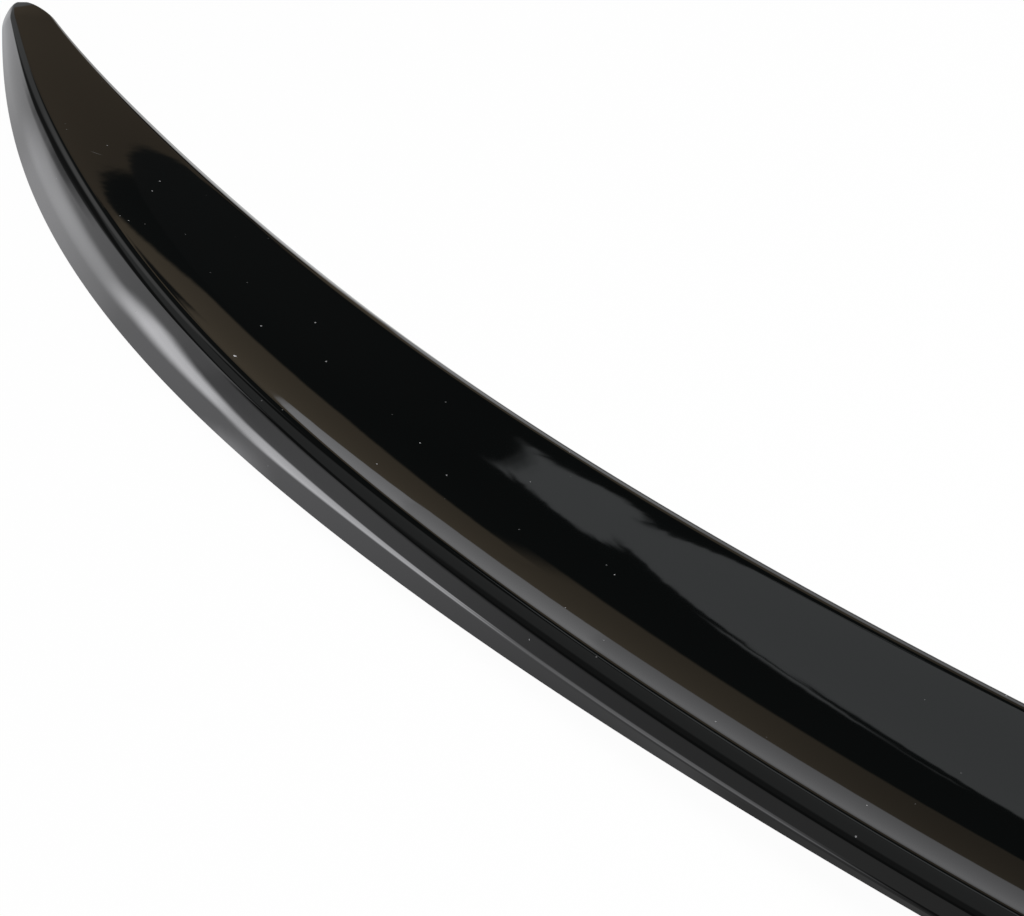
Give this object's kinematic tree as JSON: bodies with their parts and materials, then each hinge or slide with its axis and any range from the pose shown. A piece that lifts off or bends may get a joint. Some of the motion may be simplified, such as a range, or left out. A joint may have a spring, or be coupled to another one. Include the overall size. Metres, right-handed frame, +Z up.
{
  "type": "car rear spoiler",
  "caption": "Slim boot-lid lip spoiler, swept in plan with tapered tips, a rolled ridge over a creased rear face and a hollow ribbed underside.",
  "frame": {"origin": "middle of the rear tape land on the car's centre line, on the base plane", "axes": "+X to the car's right, +Y forwards to the leading edge and the tips, +Z up from the boot lid"},
  "size_m": [1.101, 0.1927, 0.0165],
  "materials": {
    "gloss_black": "polished black plastic"
  },
  "bodies": {
    "root": {"spoiler": "gloss_black"}
  },
  "joints": []
}
